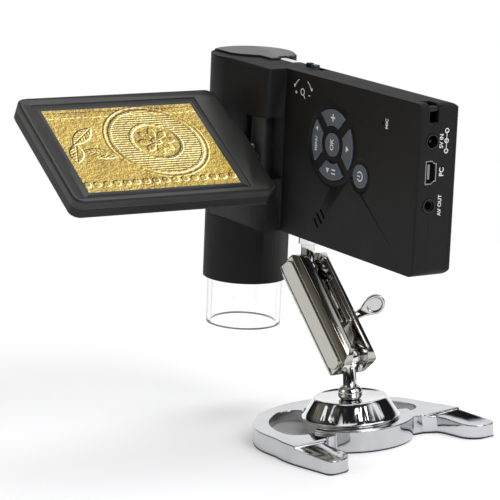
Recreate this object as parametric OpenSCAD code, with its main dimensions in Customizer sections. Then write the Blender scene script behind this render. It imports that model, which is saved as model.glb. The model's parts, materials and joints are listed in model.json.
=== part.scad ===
// Digital microscope with a fold-out display, on a ball-jointed metal stand.
// Millimetres. The origin is the middle of the stand's base on the table, +Z up,
// +X along the head from the lens barrel to the sockets, +Y behind the keypad.

/* [Pose] */
// Turn of the stand's base about the vertical, degrees
base_turn = 5; // [-30:1:30]
// First lean of the arm, about X, degrees
arm_lean_x = -6.22; // [-16:0.01:4]
// Second lean of the arm, about Y, degrees
arm_lean_y = -39.15; // [-42:0.01:-36]
// Turn of the arm about Z, degrees
arm_turn = 12; // [-10:0.5:30]
// Pitch of the head about X, degrees
head_pitch = -2.9; // [-5:0.1:5]
// Roll of the head about Y, degrees
head_roll = 4.2; // [0:0.1:8]
// How far the display stands open from the keypad, degrees
lcd_open = 92.6; // [75:0.1:94]
// How far the display is tipped back about its axle, degrees
lcd_tip = 61; // [0:1:75]

/* [Stand] */
// Radius of the base's round middle
disc_r = 27.05; // [26:0.05:30]
// Radius of the base's rear edge
rear_r = 43; // [42:0.1:46]
// Half the width over the two legs
legs_half_w = 46.5; // [46:0.5:50]
// Reach of the legs in front of the axis
legs_reach = 43; // [42:0.1:52]
// Width of one leg
leg_w = 14; // [12:0.5:16]
// Height of the round middle
base_h = 9.8; // [9:0.1:12]
// Height of the rear lobes
lobe_h = 8.5; // [8:0.1:9.5]
// Height at the toes
toe_h = 5.5; // [5:0.1:7]
// Radius of the cone's flange
flange_r = 21.45; // [21:0.05:23]
// Radius of the cone at its top
cone_top_r = 16.25; // [15:0.05:18]
// Height of the cone's top edge
cone_top_z = 19; // [18:0.1:21]
// Radius of both clamping balls
ball_r = 5.2; // [4.8:0.1:5.4]
// Height of the lower ball's centre
ball_z = 36.16; // [35:0.01:40]
// Radius of both ball posts
post_r = 3; // [2.8:0.1:3.2]

/* [Arm] */
// Distance between the two ball centres
arm_reach = 45.22; // [40:0.01:50]
// Width of an arm bar
bar_w = 18; // [16:0.5:20]
// Outer face of a bar from the arm's middle plane
bar_out = 10.3; // [10:0.1:11]
// Distance of the clamp screw from the lower ball
clamp_at = 18.6; // [18:0.1:24]
// How far the arm's ends reach past the ball centres
bar_end = 6.6; // [6:0.1:9]

/* [Head] */
// Radius of the lens barrel
barrel_r = 19.2; // [19:0.1:20]
// Height of the barrel and of the head
head_h = 101.7; // [100:0.1:104]
// Height at which the flat body starts
body_z = 29.7; // [28:0.1:31]
// End of the flat body from the barrel's axis
body_end = 140.6; // [140:0.1:144]
// Keypad face behind the barrel's axis (negative is in front)
face_y = -9.35; // [-9.6:0.05:-9.2]
// Back face of the flat body
back_y = 10; // [9.5:0.1:11]
// Wall of the mouldings
wall = 2; // [1.8:0.1:2.2]
// Outer radius of the clear spacer tube
tube_r = 17.05; // [16.8:0.01:17.08]
// Inner radius of the clear spacer tube
tube_bore_r = 15.1; // [14.9:0.05:15.4]
// How far the clear tube reaches below the barrel
tube_drop = 21.6; // [18:0.1:22]

/* [Keypad] */
// Centre of the round keypad along the body
pad_x = 78.5; // [78:0.1:80]
// Height of the keypad's centre
pad_z = 74.5; // [74:0.1:76]
// Radius of the shallow keypad dish
dish_r = 18.3; // [18:0.1:19.5]
// Radius of the middle key
ok_r = 5; // [4.8:0.1:5.8]
// Inner radius of the four arrow keys
ring_in = 8.3; // [7.8:0.1:8.6]
// Outer radius of the four arrow keys
ring_out = 15.1; // [14.8:0.1:15.8]
// Width of the gaps between the arrow keys
ring_gap = 5; // [4:0.05:5.5]
// Radius of the power key
power_r = 5; // [4.8:0.1:5.8]
// Height of the keys above the face when released
key_proud = 0.2; // [0.1:0.05:0.25]

/* [Display] */
// Distance of the vertical hinge line from the barrel's axis along the body
hinge_x = 32.6; // [32:0.1:33]
// Hinge line in front of the barrel's axis
hinge_y = -15.2; // [-15.3:0.1:-15.1]
// Height of the display's axle
axle_z = 66.7; // [66:0.1:67.5]
// Radius of the hinge drum
drum_r = 4.8; // [4.4:0.1:4.9]
// Far edge of the display's case from the hinge line
lcd_far = 105.4; // [103:0.1:106]
// Near edge of the display's case from the hinge line
lcd_near = 8.8; // [8.8:0.1:9.6]
// Case above the axle
lcd_up = 36; // [34:0.1:36]
// Case below the axle
lcd_down = 33.6; // [33:0.1:35]
// Depth of the display's front moulding
lcd_front_t = 3.8; // [3.6:0.1:3.85]
// Depth of the display's rear moulding
lcd_rear_t = 5.65; // [4:0.05:5.65]
// Width of the picture
picture_w = 72.1; // [70:0.1:73]
// Height of the picture
picture_h = 54.1; // [52:0.1:55]

/* [Hidden] */
$fn = 96;
fit = 0.05;            // radial clearance of parts that turn in each other
gap = 0.15;            // clearance round parts that slide or seat
eps = 0.01;
pad_t = 0.8;           // felt sheet under the base
stud_r = 2.7;          // shank of the lower ball stud
clamp_r = 2;           // clamp screw
wing_roll = 30;        // the lever's paddle about its own length
wing_rise = 4;         // and above the screw's plane
bar_in = 3.9;            // inner face of a bar beside the balls
block_low = 13.7;        // thick middle of the bars, from the lower ball
block_top = 9.6;         // and from the upper ball
thread_r = 2.95;       // tripod thread of the upper ball stud
stud_x = 49.7;         // tripod socket in the body's underside
stud_y = 0.3;
stud_drop = 16.6;      // upper ball below the body's underside
seam_y = -3.1;         // joint between the front and rear mouldings
port_y = -2.9;         // row of sockets on the end face
dc_z = 86.2;
usb_z = 73.4;
av_z = 59.5;
power_x = 100.1;
power_z = 64.8;
mic_x = 114.3;
mic_z = 90;
speaker_x = 70.8;
speaker_z = 41.5;
block_out_x = 41.2;    // face of the hinge housing towards the keypad
block_front_y = -20.9; // front of the hinge housing
recess_low = 53;       // the drum stands between these two heights
recess_high = 80.2;
pin_r = 1.6;           // hinge pins and display axle
picture_x = 60.4;       // middle of the picture from the hinge line
door_x = 92;
door_low = 35.3;
door_high = 94.7;
door_y = 7.9;
rod_x = 11.5;          // guide rods of the focusing carriage
wheel_y = 13.4;        // axle of the focusing wheel
wheel_z = 51;
pinion_pitch_r = 2.8;
pinion_teeth = 8;
rack_step = 2 * PI * pinion_pitch_r / pinion_teeth;
shell_screw_at = [[26, 36.2], [26, 95.3], [86, 36.2], [86, 95.3]];
back_top_r = 5.6;      // rounding along the body's back edges
back_low_r = 4.8;
end_r = 3.2;           // rounding over the end face, seen from the keypad
plate_low = [15.3, 2.4]; // bare plate on the top, its corners seen from above
plate_high = [28, 6.9];
lcd_screw_at = [[15.2, 30], [101, 30], [15.2, -27.6], [101, -27.6]];

// ---------- frames ----------

module base_frame() rotate([0, 0, base_turn]) children();

// Origin at the lower ball, Z along the arm, Y towards the wing lever.
module arm_frame()
    translate([0, 0, ball_z]) rotate([arm_lean_x, arm_lean_y, arm_turn]) children();

// Origin on the barrel's axis at its lower rim, hung from the upper ball.
module head_frame()
    translate([0, 0, ball_z]) rotate([arm_lean_x, arm_lean_y, arm_turn]) translate([0, 0, arm_reach])
    rotate([-arm_lean_x, 0, 0]) rotate([0, -arm_lean_y, 0]) rotate([0, 0, -arm_turn])
    rotate([head_pitch, head_roll, 0])
    translate([-stud_x, -stud_y, stud_drop - body_z]) children();

// Origin where the hinge line meets the axle, X away from the hinge, Y out of the picture when closed.
module drum_frame()
    head_frame() translate([hinge_x, hinge_y, axle_z]) rotate([0, 0, -lcd_open]) children();
module lcd_frame() drum_frame() rotate([lcd_tip, 0, 0]) children();

// ---------- helpers ----------

// A cylinder along +X or +Y from the given point.
module x_rod(at, r, l) translate(at) rotate([0, 90, 0]) cylinder(r = r, h = l);
module y_rod(at, r, l) translate(at) rotate([-90, 0, 0]) cylinder(r = r, h = l);
// A disc from height a to height b.
module disc(r, a, b) translate([0, 0, a]) cylinder(r = r, h = b - a);
// A ring from height a to height b.
module ring(outer, inner, a, b)
    difference() { disc(outer, a, b); disc(inner, a - 1, b + 1); }
// A block from its lowest to its highest corner.
module block(a, b) translate(a) cube(b - a);
// A flat shape on the keypad face: x along the body, y up, from depth a to b outwards.
module on_face(at, a, b)
    translate([at[0], face_y - a, at[1]]) rotate([90, 0, 0]) linear_extrude(b - a) children();
// A rectangle with round corners.
module round_rect(x0, x1, y0, y1, r) {
    translate([x0 + r, y0]) square([x1 - x0 - 2 * r, y1 - y0]);
    translate([x0, y0 + r]) square([x1 - x0, y1 - y0 - 2 * r]);
    for (x = [x0 + r, x1 - r], y = [y0 + r, y1 - r]) translate([x, y]) circle(r = r);
}
// Points of an arc.
function arc(c, r, from, to, steps = 8) =
    [for (i = [0:steps]) let (a = from + (to - from) * i / steps) c + r * [cos(a), sin(a)]];

// ---------- stand ----------

// Half of the base's outline, seen from above, legs towards +X.
leg_inner = legs_half_w - leg_w;
base_half = concat(
    arc([0, 0], rear_r, 180, 99, 16),
    [[2, rear_r + 0.6], [9, legs_half_w - 1.2], [18, legs_half_w - 0.1]],
    arc([legs_reach - 4, legs_half_w - 4], 4, 90, 0, 5),
    arc([legs_reach - 8.5, leg_inner + 8.5], 8.5, 0, -90, 7),
    [[24, leg_inner], [20.4, 31.4], [17, 26.5], [16.2, 20.6]]);
module base_outline()
    polygon(concat(base_half, [for (i = [len(base_half) - 1:-1:1]) [base_half[i][0], -base_half[i][1]]]));
// Side view of the base: level over the lobes, a crease, then falling to the toes.
module base_side_profile()
    polygon([[-60, pad_t], [-60, lobe_h], [18, lobe_h], [18.6, 7.6], [60, toe_h - 0.5], [60, pad_t]]);

// One bent oval pocket behind the cone, with round ends.
module pocket() {
    mid = 27.85;
    half = 8.05;
    from = -153;
    to = -92;
    polygon(concat(
        arc([0, 0], mid + half, from, to, 20),
        arc(mid * [cos(to), sin(to)], half, to + 10, to + 170, 12),
        arc([0, 0], mid - half, to, from, 14),
        arc(mid * [cos(from), sin(from)], half, from + 190, from + 350, 12)));
}
pocket_floor = 3.4;

module base_casting() color("gainsboro") base_frame() difference() {
    union() {
        intersection() {
            translate([0, 0, pad_t]) linear_extrude(base_h) base_outline();
            translate([0, 60, 0]) rotate([90, 0, 0]) linear_extrude(120) base_side_profile();
        }
        disc(disc_r, pad_t, base_h);
    }
    for (s = [0, 1]) mirror([0, s, 0]) translate([0, 0, pocket_floor]) linear_extrude(base_h) pocket();
    disc(stud_r + fit, 0, 20);
    disc(7.2, 0, 4.2);
    for (a = [60:120:300]) rotate([0, 0, a]) translate([12, 0, 0]) {
        disc(1.5, 0, 20);
        disc(3.1, 0, 3);
    }
}

module base_pad() color("dimgray") base_frame() linear_extrude(pad_t) intersection() {
    union() {
        base_outline();
        circle(r = disc_r - 0.8);
    }
    translate([-42.2, -46.2]) square([84.4, 92.4]);
}

module cone_boss() color("silver") difference() {
    rotate_extrude() polygon(concat(
        [[0, base_h], [flange_r, base_h], [flange_r, base_h + 1], [flange_r - 0.6, base_h + 1.3],
            [cone_top_r, cone_top_z - 0.4], [cone_top_r - 0.5, cone_top_z], [cone_top_r - 1.2, cone_top_z]],
        [for (i = [0:8]) let (t = i / 8) [(cone_top_r - 1.4) * (1 - t), cone_top_z - 0.1 - 1.2 * (1 - pow(1 - t, 2))]]));
    disc(stud_r + fit, 0, 30);
    base_frame() for (a = [60:120:300]) rotate([0, 0, a]) translate([12, 0, 0]) disc(1.5, 0, base_h + 4.2);
}

module base_screws() color("dimgray") base_frame()
    for (a = [60:120:300]) rotate([0, 0, a]) translate([12, 0, 0]) {
        disc(1.45, 2.7, base_h + 4);
        disc(2.9, 1, 2.8);
    }

module lower_ball_stud() color("silver") {
    disc(stud_r, 1.2, cone_top_z - 1.1);
    disc(post_r, cone_top_z - 1.2, ball_z - 3);
    translate([0, 0, ball_z]) sphere(r = ball_r);
}

module stud_nut() color("gray") difference() {
    translate([0, 0, 1.3]) cylinder(r = 5.4, h = 2.6, $fn = 6);
    disc(stud_r + 0.01, 0, 9);
}

module lock_nut() color("silver") translate([0, 0, cone_top_z - 19.4]) difference() {
    rotate_extrude() polygon([[0, 18.25], [4, 18.25], [4.9, 18.9], [5.35, 19.9], [5.35, 20.4], [5.05, 20.55],
        [5.05, 20.85], [5.35, 21], [5.3, 21.7], [4.7, 23], [3.9, 23.8], [0, 23.8]]);
    disc(post_r + 0.01, 0, 30);
}

// ---------- arm ----------

// Cross-section of half a bar under its raised outer face: long sloping flanks.
bar_flank = [[0, bar_in], [bar_w / 2 - 0.4, bar_in], [bar_w / 2, bar_in + 0.4], [bar_w / 2, 5],
    [bar_w / 2 - 0.4, 6.4], [bar_w / 2 - 1.3, 7.8], [bar_w / 2 - 2.7, 9], [4.6, bar_out - 0.35],
    [4.4, bar_out - 0.9]];
// Side view of a bar: both ends fall away towards the outer face.
bar_half_side = [[6.6, -bar_end], [8.4, 0.7 - bar_end], [9.6, 1.7 - bar_end], [bar_out, 3 - bar_end]];
bar_side = concat([[0, -bar_end - 1], [6.6, -bar_end - 1]], bar_half_side,
    [for (i = [3:-1:0]) [bar_half_side[i][0], arm_reach - bar_half_side[i][1]]],
    [[6.6, arm_reach + bar_end + 1], [0, arm_reach + bar_end + 1]]);
// A slab with round corners at both ends of the arm, from y = a to b.
module bar_slab(w, a, b, low, high, corner) translate([0, b, 0]) rotate([90, 0, 0]) linear_extrude(b - a)
    round_rect(-w / 2, w / 2, low, high, corner);

module bar() difference() {
    union() {
        intersection() {
            translate([0, 0, -20]) linear_extrude(arm_reach + 40)
                polygon(concat(bar_flank, [for (i = [len(bar_flank) - 1:-1:1]) [-bar_flank[i][0], bar_flank[i][1]]]));
            bar_slab(bar_w, 0, 20, -bar_end, arm_reach + bar_end, 8.6);
            translate([-20, 0, 0]) rotate([90, 0, 90]) linear_extrude(40) polygon(bar_side);
        }
        // The raised outer face, with round ends.
        bar_slab(7.2, bar_out - 1.6, bar_out, 2.1 - bar_end, arm_reach + bar_end - 2.1, 3.55);
        // The bars come close together between the two balls.
        bar_slab(bar_w - 3, 0.9, 1.9, block_low, arm_reach - block_top, 1);
        bar_slab(bar_w - 4.2, 1.8, 2.5, block_low, arm_reach - block_top, 1);
        bar_slab(bar_w - 2.4, 2.4, bar_in + 0.5, block_low, arm_reach - block_top, 1);
    }
    for (z = [0, arm_reach]) translate([0, 0, z]) sphere(r = ball_r + fit);
    // The gap widens towards the ends, so that the posts can swing.
    for (e = [[-12, 0], [arm_reach + 12, arm_reach]]) translate([-20, 0, 0]) rotate([90, 0, 90])
        linear_extrude(40) polygon([[-5.6, e[0]], [5.6, e[0]], [bar_in, e[1]], [-bar_in, e[1]]]);
    y_rod([0, 0, clamp_at], 4.7, 1.7);
}
module arm_bar_right() color("silver") arm_frame() difference() {
    bar();
    y_rod([0, 0, clamp_at], clamp_r + fit, 20);
}
// The clamp screw ends inside the left bar.
module arm_bar_left() color("silver") arm_frame() mirror([0, 1, 0]) difference() {
    bar();
    y_rod([0, 0, clamp_at], clamp_r + fit, bar_out - 2.5);
}

module clamp_washer() color("gray") arm_frame() translate([0, -1.55, clamp_at]) rotate([-90, 0, 0])
    ring(4.4, clamp_r + 0.15, 0, 3.1);

module clamp_screw() color("silver") arm_frame() y_rod([0, 2.7 - bar_out, clamp_at], clamp_r, 2 * bar_out - 0.6);

// An oval paddle with a dish in each side, on a round hub.
module wing_lever() color("silver") arm_frame() translate([0, 0, clamp_at]) difference() {
    union() {
        y_rod([0, bar_out + 0.15, 0], 3.4, 2.8);
        translate([0, bar_out + 1.6, 0]) rotate([wing_roll, -wing_rise, 37]) translate([0, 1.5, 0]) rotate([90, 0, 0])
            linear_extrude(3) {
                polygon([[2.4, -1.5], [6, -2], [9.2, -3.6], [9.2, 3.6], [6, 2], [2.4, 1.5]]);
                translate([12, 0]) scale([1.15, 1]) circle(r = 4.1);
            }
    }
    y_rod([0, 0, 0], clamp_r + 0.01, bar_out + 2.1);
    translate([0, bar_out + 1.6, 0]) rotate([wing_roll, -wing_rise, 37]) for (s = [-1, 1])
        translate([12, 1.5 * s + 0.5, 0]) rotate([90, 0, 0]) scale([1.15, 1, 1]) cylinder(r = 3, h = 1);
}

// The upper stud: ball, post and tripod thread.
ball2_z = body_z - stud_drop;
module on_stud() head_frame() translate([stud_x, stud_y, 0]) children();
module upper_ball_stud() color("silver") on_stud() {
    translate([0, 0, ball2_z]) sphere(r = ball_r);
    disc(post_r, ball2_z + 3, body_z - 4.8);
    disc(thread_r, body_z - 4.9, body_z + 7);
}
module jam_nut() color("silver") on_stud() ring(4.25, post_r + 0.01, body_z - 4.8, body_z - 0.05);
module tripod_bush() color("goldenrod") on_stud() ring(4.9, thread_r + fit, body_z, body_z + 8);

// ---------- head mouldings ----------

module body_outline(r, front, back, end, corner) {
    circle(r = r);
    translate([0, front]) square([end - corner, back - front]);
    translate([end - 3 * corner, front + corner]) square([3 * corner, back - front - 2 * corner]);
    for (y = [front + corner, back - corner]) translate([end - corner, y]) circle(r = corner);
}
module body_solid() {
    disc(barrel_r, 0, head_h);
    intersection() {
        translate([0, 0, body_z]) linear_extrude(head_h - body_z) body_outline(1, face_y, back_y, body_end, 1.4);
        // Square towards the keypad, rounded along the back.
        translate([-5, 0, 0]) rotate([90, 0, 90]) linear_extrude(body_end + 10) {
            round_rect(0, back_y, body_z, head_h - 20, back_low_r);
            round_rect(0, back_y, body_z + 20, head_h, back_top_r);
            translate([face_y, body_z]) square([back_y - back_top_r - face_y, head_h - body_z]);
        }
        translate([0, 50, 0]) rotate([90, 0, 0]) linear_extrude(100)
            round_rect(-30, body_end, body_z, head_h, end_r);
    }
}
module body_hollow() {
    disc(barrel_r - wall, -1, head_h - wall);
    block([0, face_y + wall, body_z + wall], [body_end - wall - 0.2, back_y - wall - 1.9, head_h - wall]);
    block([0, 0, body_z + wall + 1.9], [body_end - wall - 0.2, back_y - wall, head_h - wall - 1.9]);
}
// Everything on the front moulding's side of the seam.
module front_side(shrink = 0) translate([0, 0, body_z]) linear_extrude(head_h)
    polygon([[-40, -40], [-40, -12 - shrink], [-1.2, -12 - shrink], [3.5, -9.7 - shrink],
        [6.8, -6.6 - shrink], [9.8, seam_y - shrink], [160, seam_y - shrink], [160, -40]]);

// The hinge housing stands in front of the keypad face, beside the barrel.
module housing() intersection() {
    translate([0, 0, body_z]) linear_extrude(head_h - body_z) polygon(concat(
        [[-1.2, -12.2], [-1.2, -barrel_r], [20, block_front_y + 0.7]],
        arc([block_out_x - 5, block_front_y + 5], 5, -92, 0, 8),
        [[block_out_x, face_y + 1], [4, face_y + 1]]));
    translate([-10, 0, 0]) rotate([90, 0, 90]) linear_extrude(60) {
        round_rect(block_front_y, 0, body_z, head_h, 3.8);
        translate([-8, body_z]) square([10, head_h - body_z]);
    }
}
// Room for the drum, and for the display's near edge as it swings.
module hinge_recess() {
    translate([hinge_x, hinge_y, 0]) disc(drum_r + 0.5, recess_low, recess_high);
    block([hinge_x - drum_r - 0.5, -30, recess_low], [block_out_x + 1, hinge_y, recess_high]);
    block([hinge_x, hinge_y - 1, recess_low], [block_out_x + 1, face_y - 0.02, recess_high]);
}

// Outline of one arrow key, pointing up.
module ring_key(grow) intersection() {
    difference() { circle(r = ring_out + grow); circle(r = ring_in - grow); }
    translate([0, (ring_gap / 2 - grow) * sqrt(2)]) polygon([[0, 0], [40, 40], [-40, 40]]);
}
module key_opening(grow) {
    circle(r = ok_r + grow);
    for (a = [0:90:270]) rotate(a) ring_key(grow);
}
module speaker_slots() for (s = [[73.4, 43.7, 5], [71.2, 41.3, 6], [69, 38.9, 5]])
    translate([s[0], s[1]]) rotate(45) round_rect(-0.6, 0.6, -s[2] / 2, s[2] / 2, 0.5);

// The data socket's outline, narrower towards the back: x behind the port, y up.
module usb_profile(g) polygon([[-2.8 - g, -5 - g], [0.4, -5 - g], [1.6, -3.9 - g], [2.8 + g, -3.9 - g],
    [2.8 + g, 3.9 + g], [1.6, 3.9 + g], [0.4, 5 + g], [-2.8 - g, 5 + g]]);
// Sockets, strap bar and screws pass through both mouldings.
module end_openings() {
    x_rod([body_end - 6, port_y, dc_z], 3.3, 10);
    x_rod([body_end - 6, port_y, av_z], 3.2, 10);
    translate([body_end - 6, port_y, usb_z]) rotate([90, 0, 90]) linear_extrude(7) usb_profile(0.2);
    // The strap's slot runs over the top edge.
    block([body_end - 7.4, -4.9, 94], [body_end + 1, -0.5, head_h + 1]);
}

module front_shell() color("#242424") head_frame() difference() {
    union() {
        intersection() {
            difference() { body_solid(); body_hollow(); }
            front_side();
        }
        difference() { housing(); disc(barrel_r - wall, 0, head_h - wall); }
        for (p = shell_screw_at) y_rod([p[0], face_y + wall - eps, p[1]], 2.6, seam_y - face_y - wall);
    }
    hinge_recess();
    for (z = [recess_low - 9, recess_high - 1]) translate([hinge_x, hinge_y, z]) cylinder(r = pin_r + fit, h = 10);
    on_face([pad_x, pad_z], -0.5, 1) circle(r = dish_r);
    on_face([pad_x, pad_z], -5, 1) key_opening(0.2);
    on_face([power_x, power_z], -0.5, 1) circle(r = power_r + 2.3);
    on_face([power_x, power_z], -5, 1) circle(r = power_r + 0.2);
    on_face([mic_x, mic_z], -5, 1) circle(r = 0.7);
    on_face([0, 0], -5, 1) speaker_slots();
    end_openings();
    for (p = shell_screw_at) y_rod([p[0], -5.5, p[1]], 1.25, 4);
    translate([stud_x, stud_y, body_z - 1]) cylinder(r = 4.95, h = 12);
}

module rear_shell() color("#2a2a2a") head_frame() difference() {
    union() {
        difference() {
            difference() { body_solid(); body_hollow(); }
            front_side(-0.02);
        }
        for (p = shell_screw_at) y_rod([p[0], seam_y + 0.02, p[1]], 3, back_y - wall - seam_y);
        // Battery bay and the plate behind its door.
        block([95.5, -0.4, 39.5], [128.5, door_y, 90.5]);
        block([door_x - 2, 6.3, body_z + wall - eps], [body_end - wall, door_y, head_h - wall + eps]);
    }
    block([97, 0.8, 41], [127, 9, 89]);
    block([door_x - gap, door_y - 0.1, door_low - gap], [body_end + 1, back_y + 1, door_high + gap]);
    end_openings();
    for (p = shell_screw_at) {
        y_rod([p[0], -6, p[1]], 1.25, 15);
        y_rod([p[0], 8.1, p[1]], 2.1, 4);
    }
    block([37.6, 1.9, head_h - wall - 1], [51.7, 5.1, head_h + 1]);
    block([plate_low[0], plate_low[1], head_h - 0.45], [plate_high[0], plate_high[1], head_h + 1]);
    block([-2.7, wheel_y, wheel_z - 6.3], [2.7, barrel_r + 1, wheel_z + 6.3]);
    block([2.5, 12, wheel_z - 3.8], [6.5, 17.1, wheel_z + 3.8]);
    translate([stud_x, stud_y, body_z - 1]) cylinder(r = 4.95, h = 12);
}

module barrel_cap() color("#2e2e2e") head_frame() difference() {
    union() {
        disc(barrel_r - 0.6, head_h, head_h + 0.5);
        translate([0, 0, head_h + 0.5]) cylinder(r1 = barrel_r - 0.6, r2 = barrel_r - 1, h = 0.4);
    }
    translate([0, 0, 1]) front_side(-0.3);
    block([plate_low[0], plate_low[1], head_h - 1], [plate_high[0], plate_high[1], head_h + 2]);
}
module top_plate() color("whitesmoke") head_frame() block([plate_low[0] + gap, plate_low[1] + gap, head_h - 0.4],
    [plate_high[0] - gap, plate_high[1] - gap, head_h + 0.05]);
module battery_door() color("#242424") head_frame() difference() {
    intersection() {
        block([door_x, door_y + 0.02, door_low], [body_end - 0.05, back_y, door_high]);
        body_solid();
    }
    for (i = [0:3]) block([100 + 3 * i, back_y - 0.5, 52], [101.4 + 3 * i, back_y + 1, 78]);
}
module battery() color("steelblue") head_frame() block([98, 1.1, 42], [126, 7.2, 88]);
module main_board() color("darkgreen") head_frame() block([56, -1.6, 42], [94.5, -0.4, 92]);
module board_chips() color("#303030") head_frame() {
    block([64, -0.4, 66], [78, 1, 80]);
    block([62, -0.4, 48], [72, 0.8, 60]);
    block([82, -0.4, 72], [92, 1.6, 84]);
}
module card_socket() color("silver") head_frame() block([78, -0.4, 46], [92, 1.6, 61]);
module key_board() color("darkgreen") head_frame() block([60, -4.9, 56.5], [109, -3.8, 92.5]);
module key_mat() color("lightgray") head_frame() block([60, face_y + 3.4, 56.5], [109, -4.9, 92.5]);

// A key: its cap through the face and a wider lip behind it.
module key_at(at) head_frame() {
    on_face(at, -2.2, key_proud) children(0);
    on_face(at, -2.75, -2.15) children(1);
}
module key_ok() color("slategray") key_at([pad_x, pad_z]) {
    circle(r = ok_r);
    circle(r = ok_r + 0.7);
}
module arrow_key(a) color("slategray") key_at([pad_x, pad_z]) {
    rotate(a) ring_key(0);
    rotate(a) ring_key(0.7);
}
module key_up() arrow_key(0);
module key_left() arrow_key(90);
module key_down() arrow_key(180);
module key_right() arrow_key(270);
module key_power() color("slategray") key_at([power_x, power_z]) {
    circle(r = power_r);
    circle(r = power_r + 0.7);
}

module speaker() color("#202020") head_frame() y_rod([speaker_x, face_y + wall + 0.1, speaker_z], 7.4, 3.4);
module microphone() color("silver") head_frame() y_rod([mic_x, face_y + wall + 0.1, mic_z], 2.2, 2);

// A round socket for a plug, opening towards +X.
module round_socket(z, r, bore) difference() {
    union() {
        block([129.6, port_y - 3.3, z - 3.8], [body_end - wall - 0.4, port_y + 3.3, z + 3.8]);
        x_rod([body_end - wall - 0.5, port_y, z], r, wall + 0.7);
    }
    x_rod([body_end + 0.3 - 10.5, port_y, z], bore, 12);
}
module dc_socket() color("#181818") head_frame() {
    round_socket(dc_z, 3.2, 2.6);
    x_rod([body_end - 10.3, port_y, dc_z], 0.65, 8.8);
}
module av_socket() color("#181818") head_frame() difference() {
    round_socket(av_z, 3.1, 1.8);
    x_rod([body_end - 0.8, port_y, av_z], 2.5, 3);
}
module usb_socket() color("silver") head_frame() {
    difference() {
        translate([130, port_y, usb_z]) rotate([90, 0, 90]) linear_extrude(body_end - 130) usb_profile(0);
        translate([131, port_y, usb_z]) rotate([90, 0, 90]) linear_extrude(12) usb_profile(-0.5);
    }
    block([130.5, port_y - 0.7, usb_z - 3.2], [body_end - 1.5, port_y + 0.5, usb_z + 3.2]);
}
module strap_bar() color("silver") head_frame() y_rod([body_end - 1.8, -4.9, head_h - 2.3], 1.3, 4.4);
module shell_screws() color("gray") head_frame() for (p = shell_screw_at) {
    y_rod([p[0], -4.8, p[1]], 1.2, 13.2);
    y_rod([p[0], 8.2, p[1]], 1.9, 1.4);
}
module lamp_slider() color("#181818") head_frame() {
    block([37.9, 1, head_h - wall - 1.4], [46.2, 6, head_h - wall - 0.2]);
    block([38.4, 2.1, head_h - wall - 0.3], [46, 4.9, head_h - 0.3]);
    block([38.8, 2.3, head_h - 0.4], [41.4, 4.7, head_h + 1.6]);
}
module slider_cap() color("slategray") head_frame() block([42.8, 2.2, head_h - 0.3], [45.8, 4.8, head_h + 1.4]);

// ---------- focusing, sensor and lamps inside the barrel ----------

module lens_chassis() color("dimgray") head_frame() difference() {
    union() {
        ring(barrel_r - wall - 0.1, 8.5, 18, 20);
        ring(barrel_r - wall - 0.1, 8.5, 87, 89);
        for (x = [-8.4, 6.9]) block([x, 11.9, 19], [x + 1.5, 14.9, 88]);
    }
    for (s = [-1, 1]) translate([s * rod_x, 0, 0]) disc(1, 10, 100);
    x_rod([-10, wheel_y, wheel_z], 1 + fit, 20);
}
module guide_rods() color("silver") head_frame()
    for (s = [-1, 1]) translate([s * rod_x, 0, 0]) disc(1, 18, 89);
module lens_carriage() color("#303030") head_frame() difference() {
    union() {
        disc(6, 40, 62);
        block([-13.5, -2.2, 48], [13.5, 2.2, 54]);
        block([2.6, 3, 40], [6.4, 9.6, 62]);
        for (i = [-4:4]) block([2.6, 9.5, wheel_z + (i + 0.5) * rack_step - 0.45],
            [6.4, 11, wheel_z + (i + 0.5) * rack_step + 0.45]);
    }
    disc(4.4, 39, 63);
    for (s = [-1, 1]) translate([s * rod_x, 0, 0]) disc(1 + fit, 40, 60);
}
module lens_glass() color("lightblue") head_frame() {
    disc(4.38, 42, 45);
    disc(4.38, 56, 59);
}
module focus_wheel() color("#202020") head_frame() translate([0, wheel_y, wheel_z]) {
    difference() {
        x_rod([-2.2, 0, 0], 7, 4.4);
        for (a = [0:12:348]) rotate([a, 0, 0]) block([-3, -0.3, 6.6], [3, 0.3, 8]);
    }
    x_rod([-8.4, 0, 0], 1, 16.8);
    x_rod([2.4, 0, 0], 2, 4.1);
    for (i = [0:pinion_teeth - 1]) rotate([360 / pinion_teeth * i, 0, 0]) block([2.8, -0.35, 0], [6.2, 0.35, 3.5]);
}
module sensor_board() color("darkgreen") head_frame() disc(16, 92, 93.4);
module image_sensor() color("#202020") head_frame() block([-3.5, -3.5, 90.4], [3.5, 3.5, 92]);
module lamp_board() color("whitesmoke") head_frame() ring(17, 6.2, 5.2, 6.4);
module lamps() color("lightyellow") head_frame()
    for (a = [22.5:45:337.5]) rotate([0, 0, a]) translate([10.5, 0, 0]) {
        disc(1.4, 3.75, 5.15);
        translate([0, 0, 3.75]) sphere(r = 1.4);
    }
module barrel_window() color("lightblue") head_frame() disc(6.1, 5.3, 6.5);
module tube_collar() color("#303030") head_frame() ring(tube_bore_r - 0.06, 13.5, 0.3, 5.15);
module clear_tube() color("lightcyan") head_frame() ring(tube_r, tube_bore_r, -tube_drop, 4.4);

// ---------- hinge and display ----------

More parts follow.
